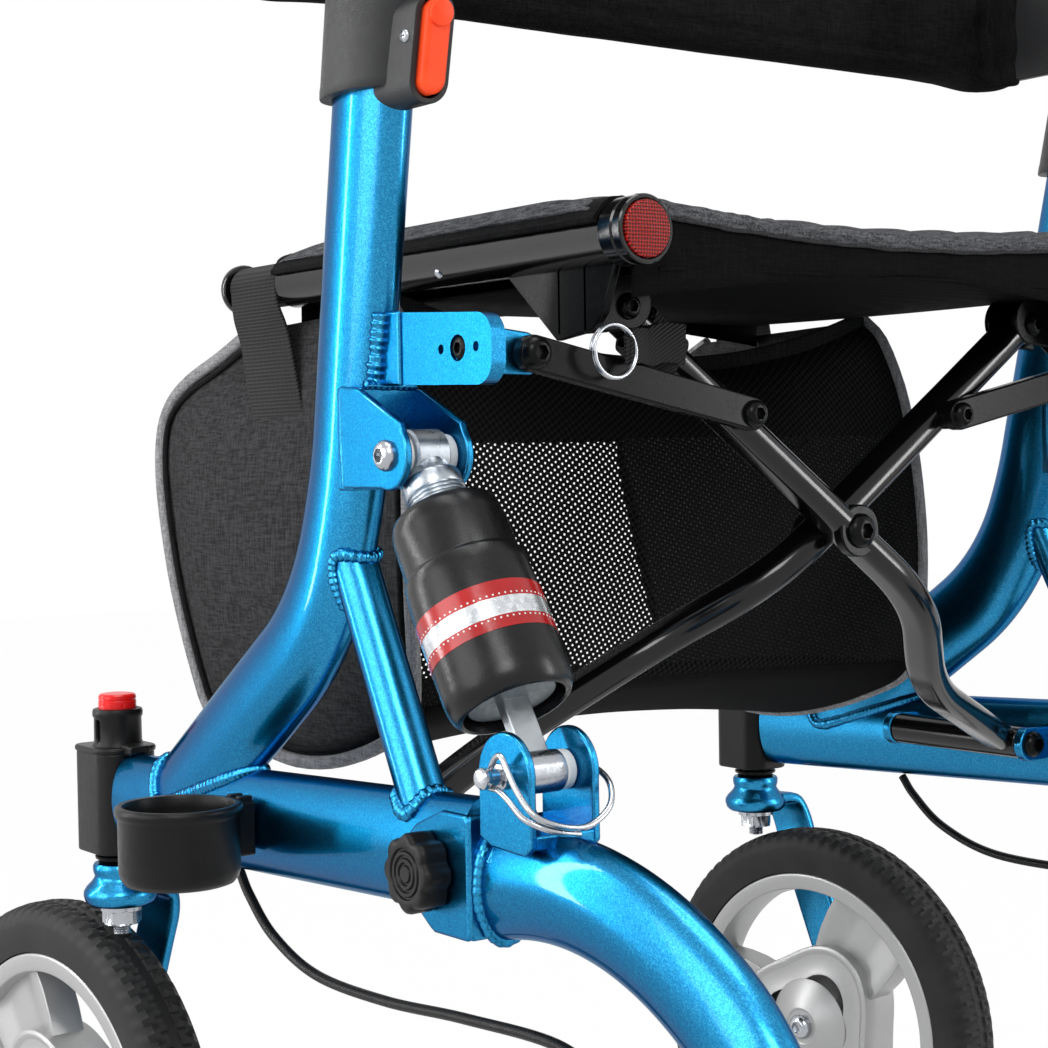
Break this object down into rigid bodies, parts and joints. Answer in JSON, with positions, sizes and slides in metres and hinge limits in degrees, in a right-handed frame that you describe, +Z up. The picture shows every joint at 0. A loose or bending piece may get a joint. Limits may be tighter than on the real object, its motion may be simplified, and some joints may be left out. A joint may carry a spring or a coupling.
{
  "type": "rollator",
  "caption": "Side-folding four-wheeled walking aid with a padded seat on a cross brace, sprung rear arms, swivelling front casters, sliding handles and a front bag",
  "frame": {"origin": "on the floor, midway between the side frames and midway between the foremost and rearmost points of the wheels", "axes": "+Z up, -Y forwards in the walking direction, +X to the user's left"},
  "size_m": [0.6416, 0.8748, 0.9206],
  "materials": {
    "blue": "metallic blue powder coat",
    "black_metal": "satin black powder coat",
    "black_plastic": "fine matte texture",
    "grey_plastic": "fine matte texture",
    "silver_plastic": "silver satin",
    "steel": "zinc plated",
    "tyre": "moulded tread",
    "rubber": "soft matte",
    "red": "gloss, prism pattern on the reflectors",
    "orange": "satin gloss",
    "fabric": "woven polyester"
  },
  "bodies": {
    "frame_l": {"side_frame_l": "blue", "caster_housing_l": "black_plastic", "height_collar_l": "grey_plastic", "brake_cable_l": "black_plastic", "cane_holder": "black_plastic", "backrest": "fabric"},
    "frame_r": {"side_frame_r": "blue", "caster_housing_r": "black_plastic", "height_collar_r": "grey_plastic", "brake_cable_r": "black_plastic"},
    "brace_b": {"cross_tube_b": "black_metal", "seat_rail_r": "black_metal", "reflector_r": "red", "seat": "fabric"},
    "sling": {"bag": "fabric"},
    "brace_a": {"cross_tube_a": "black_metal", "seat_rail_l": "black_metal", "reflector_l": "red", "strap_loop": "fabric", "split_ring": "steel"},
    "link_l": {"link_bar_l": "black_metal"},
    "link_r": {"link_bar_r": "black_metal"},
    "caster_l": {"caster_stem_l": "steel", "caster_fork_l": "blue"},
    "front_wheel_l": {"front_tyre_l": "tyre", "front_hub_l": "silver_plastic"},
    "button_l": {"caster_button_l": "red"},
    "arm_l": {"swing_arm_l": "blue", "shock_pin_l": "steel"},
    "knob_l": {"pivot_knob_l": "black_plastic"},
    "rear_wheel_l": {"rear_tyre_l": "tyre", "rear_hub_l": "silver_plastic"},
    "shock_l": {"shock_eye_l": "steel", "shock_sleeve_l": "black_plastic"},
    "shock_lower_l": {"shock_rod_l": "steel"},
    "bail_l": {"shock_bail_l": "steel"},
    "height_lever_l": {"height_lever_l": "orange"},
    "handle_l": {"handle_tube_l": "black_metal", "grip_l": "rubber"},
    "brake_lever_l": {"brake_lever_l": "black_plastic"},
    "brake_l": {"rear_brake_l": "black_metal"},
    "caster_r": {"caster_stem_r": "steel", "caster_fork_r": "blue"},
    "front_wheel_r": {"front_tyre_r": "tyre", "front_hub_r": "silver_plastic"},
    "button_r": {"caster_button_r": "red"},
    "arm_r": {"swing_arm_r": "blue", "shock_pin_r": "steel"},
    "knob_r": {"pivot_knob_r": "black_plastic"},
    "rear_wheel_r": {"rear_tyre_r": "tyre", "rear_hub_r": "silver_plastic"},
    "shock_r": {"shock_eye_r": "steel", "shock_sleeve_r": "black_plastic"},
    "shock_lower_r": {"shock_rod_r": "steel"},
    "bail_r": {"shock_bail_r": "steel"},
    "height_lever_r": {"height_lever_r": "orange"},
    "handle_r": {"handle_tube_r": "black_metal", "grip_r": "rubber"},
    "brake_lever_r": {"brake_lever_r": "black_plastic"},
    "brake_r": {"rear_brake_r": "black_metal"}
  },
  "joints": [
    {"name": "fold", "type": "hinge", "parent": "frame_l", "child": "brace_b", "pos_m": [0.20925, -0.0455, 0.334], "axis": [0, 1, 0], "range_deg": [0, 40], "deforming": ["seat", "bag", "backrest"]},
    {"name": "scissor", "type": "hinge", "parent": "brace_b", "child": "brace_a", "pos_m": [0, 0.0645, 0.4643], "axis": [0, 1, 0], "range_deg": [-80, 0]},
    {"name": "frame_r_hinge", "type": "hinge", "parent": "brace_a", "child": "frame_r", "pos_m": [-0.20925, -0.0455, 0.334], "axis": [0, 1, 0], "range_deg": [0, 40]},
    {"name": "bag_lift", "type": "slide", "parent": "frame_l", "child": "sling", "axis": [0.5943, 0, 0.8043], "range_m": [0, 0.23]},
    {"name": "link_l_hinge", "type": "hinge", "parent": "frame_l", "child": "link_l", "pos_m": [0.202, 0.0885, 0.5465], "axis": [0, 1, 0], "range_deg": [0, 80]},
    {"name": "link_r_hinge", "type": "hinge", "parent": "frame_r", "child": "link_r", "pos_m": [-0.202, 0.073, 0.5465], "axis": [0, 1, 0], "range_deg": [-80, 0]},
    {"name": "caster_swivel_l", "type": "hinge", "parent": "frame_l", "child": "caster_l", "pos_m": [0.235, -0.2547, 0.27], "axis": [0, 0, 1], "continuous": true},
    {"name": "front_wheel_spin_l", "type": "hinge", "parent": "caster_l", "child": "front_wheel_l", "pos_m": [0.24221, -0.31023, 0.127], "axis": [-0.9917, -0.1288, 0], "continuous": true},
    {"name": "caster_button_l", "type": "slide", "parent": "frame_l", "child": "button_l", "axis": [0, 0, -1], "range_m": [0, 0.003], "stiffness_N_per_m": 600, "springref_m": -0.002},
    {"name": "arm_hinge_l", "type": "hinge", "parent": "frame_l", "child": "arm_l", "pos_m": [0.235, 0.082, 0.331], "axis": [1, 0, 0], "range_deg": [0, 10], "stiffness_Nm_per_rad": 300, "springref_deg": -5.73, "deforming": ["brake_cable_l"]},
    {"name": "pivot_knob_l", "type": "hinge", "parent": "frame_l", "child": "knob_l", "pos_m": [0.235, 0.082, 0.331], "axis": [1, 0, 0], "continuous": true},
    {"name": "rear_wheel_spin_l", "type": "hinge", "parent": "arm_l", "child": "rear_wheel_l", "pos_m": [0.292, 0.33428, 0.102], "axis": [1, 0, 0], "continuous": true},
    {"name": "shock_hinge_l", "type": "hinge", "parent": "frame_l", "child": "shock_l", "pos_m": [0.235, 0.0525, 0.504], "axis": [1, 0, 0], "range_deg": [-1.5, 0.5]},
    {"name": "shock_slide_l", "type": "slide", "parent": "shock_l", "child": "shock_lower_l", "axis": [0, -0.5371, 0.8435], "range_m": [0, 0.0125]},
    {"name": "bail_hinge_l", "type": "hinge", "parent": "arm_l", "child": "bail_l", "pos_m": [0.235, 0.134, 0.376], "axis": [1, 0, 0], "range_deg": [0, 90]},
    {"name": "height_lever_l", "type": "hinge", "parent": "frame_l", "child": "height_lever_l", "pos_m": [0.2401, 0.073, 0.6925], "axis": [1, 0, 0], "range_deg": [0, 35]},
    {"name": "handle_slide_l", "type": "slide", "parent": "frame_l", "child": "handle_l", "axis": [0.0294, 0.1989, 0.9796], "range_m": [-0.04, 0.1]},
    {"name": "brake_lever_l", "type": "hinge", "parent": "handle_l", "child": "brake_lever_l", "pos_m": [0.24556, 0.10044, 0.863], "axis": [1, 0, 0], "range_deg": [0, 6], "stiffness_Nm_per_rad": 4, "springref_deg": -5.73},
    {"name": "rear_brake_hinge_l", "type": "hinge", "parent": "arm_l", "child": "brake_l", "pos_m": [0.2576, 0.2883, 0.2116], "axis": [1, 0, 0], "range_deg": [0, 4]},
    {"name": "caster_swivel_r", "type": "hinge", "parent": "frame_r", "child": "caster_r", "pos_m": [-0.235, -0.2547, 0.27], "axis": [0, 0, 1], "continuous": true},
    {"name": "front_wheel_spin_r", "type": "hinge", "parent": "caster_r", "child": "front_wheel_r", "pos_m": [-0.24231, -0.19918, 0.127], "axis": [0.9914, 0.1305, 0], "continuous": true},
    {"name": "caster_button_r", "type": "slide", "parent": "frame_r", "child": "button_r", "axis": [0, 0, -1], "range_m": [0, 0.003], "stiffness_N_per_m": 600, "springref_m": -0.002},
    {"name": "arm_hinge_r", "type": "hinge", "parent": "frame_r", "child": "arm_r", "pos_m": [-0.235, 0.082, 0.331], "axis": [1, 0, 0], "range_deg": [0, 10], "stiffness_Nm_per_rad": 300, "springref_deg": -5.73, "deforming": ["brake_cable_r"]},
    {"name": "pivot_knob_r", "type": "hinge", "parent": "frame_r", "child": "knob_r", "pos_m": [-0.235, 0.082, 0.331], "axis": [1, 0, 0], "continuous": true},
    {"name": "rear_wheel_spin_r", "type": "hinge", "parent": "arm_r", "child": "rear_wheel_r", "pos_m": [-0.292, 0.33428, 0.102], "axis": [1, 0, 0], "continuous": true},
    {"name": "shock_hinge_r", "type": "hinge", "parent": "frame_r", "child": "shock_r", "pos_m": [-0.235, 0.0525, 0.504], "axis": [1, 0, 0], "range_deg": [-1.5, 0.5]},
    {"name": "shock_slide_r", "type": "slide", "parent": "shock_r", "child": "shock_lower_r", "axis": [0, -0.5371, 0.8435], "range_m": [0, 0.0125]},
    {"name": "bail_hinge_r", "type": "hinge", "parent": "arm_r", "child": "bail_r", "pos_m": [-0.235, 0.134, 0.376], "axis": [1, 0, 0], "range_deg": [0, 90]},
    {"name": "height_lever_r", "type": "hinge", "parent": "frame_r", "child": "height_lever_r", "pos_m": [-0.2401, 0.073, 0.6925], "axis": [1, 0, 0], "range_deg": [0, 35]},
    {"name": "handle_slide_r", "type": "slide", "parent": "frame_r", "child": "handle_r", "axis": [-0.0294, 0.1989, 0.9796], "range_m": [-0.04, 0.1]},
    {"name": "brake_lever_r", "type": "hinge", "parent": "handle_r", "child": "brake_lever_r", "pos_m": [-0.24556, 0.10044, 0.863], "axis": [1, 0, 0], "range_deg": [0, 6], "stiffness_Nm_per_rad": 4, "springref_deg": -5.73},
    {"name": "rear_brake_hinge_r", "type": "hinge", "parent": "arm_r", "child": "brake_r", "pos_m": [-0.2576, 0.2883, 0.2116], "axis": [1, 0, 0], "range_deg": [0, 4]}
  ],
  "couplings": [
    {"joint": "scissor", "follows": "fold", "ratio": -2},
    {"joint": "bag_lift", "follows": "fold", "m_per_rad": 0.3206},
    {"joint": "frame_r_hinge", "follows": "fold", "ratio": 1},
    {"joint": "link_l_hinge", "follows": "fold", "ratio": 2},
    {"joint": "link_r_hinge", "follows": "fold", "ratio": -2},
    {"joint": "shock_hinge_l", "follows": "arm_hinge_l", "ratio": -0.11},
    {"joint": "shock_slide_l", "follows": "arm_hinge_l", "m_per_rad": 0.0667},
    {"joint": "rear_brake_hinge_l", "follows": "brake_lever_l", "ratio": 0.53},
    {"joint": "shock_hinge_r", "follows": "arm_hinge_r", "ratio": -0.11},
    {"joint": "shock_slide_r", "follows": "arm_hinge_r", "m_per_rad": 0.0667},
    {"joint": "rear_brake_hinge_r", "follows": "brake_lever_r", "ratio": 0.53}
  ]
}
